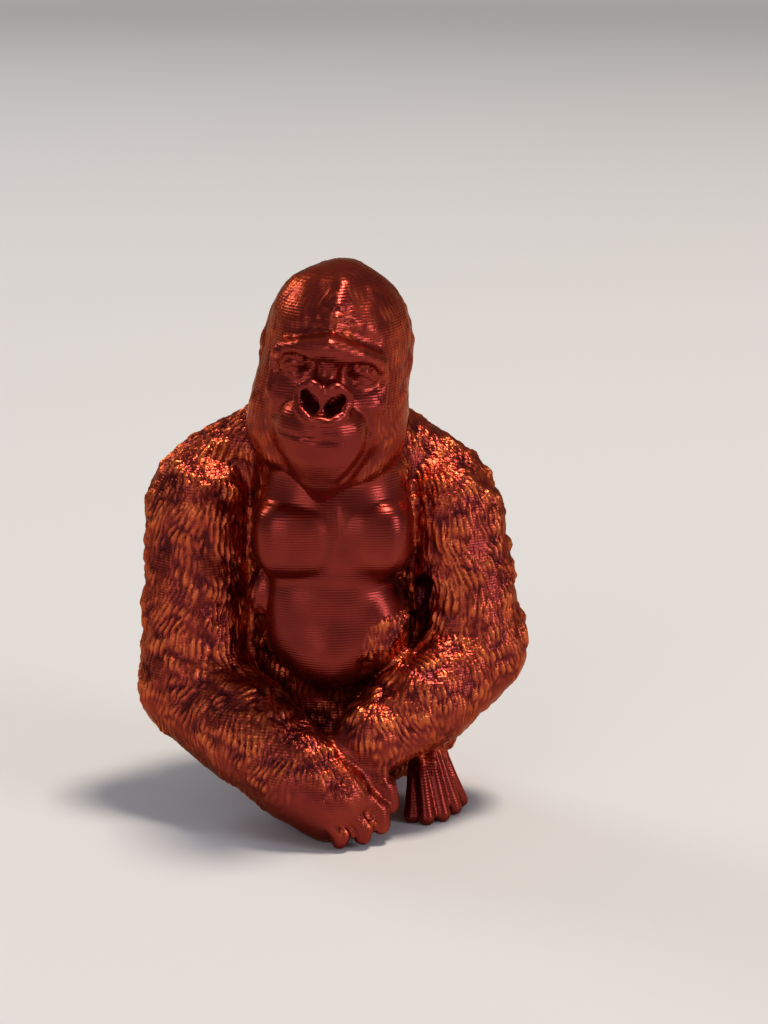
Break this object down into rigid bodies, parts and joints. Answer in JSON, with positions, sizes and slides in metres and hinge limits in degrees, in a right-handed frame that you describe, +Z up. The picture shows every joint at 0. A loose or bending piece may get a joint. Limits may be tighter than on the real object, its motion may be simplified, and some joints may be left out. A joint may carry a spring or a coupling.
{
  "type": "gorilla figurine",
  "caption": "Small one-piece figurine of a seated gorilla with crossed forearms, one fist on the ground, carved fur and a bare face and chest.",
  "frame": {"origin": "on the table, under the middle of the figurine's bounding box", "axes": "+Z up from the table, the gorilla faces -Y, and +X is on the right of someone who faces the gorilla"},
  "size_m": [0.0428, 0.035, 0.0602],
  "materials": {
    "copper_red_filament": "silk copper-red printed filament with a metallic sheen and fine horizontal layer lines"
  },
  "bodies": {
    "root": {"gorilla": "copper_red_filament"}
  },
  "joints": []
}
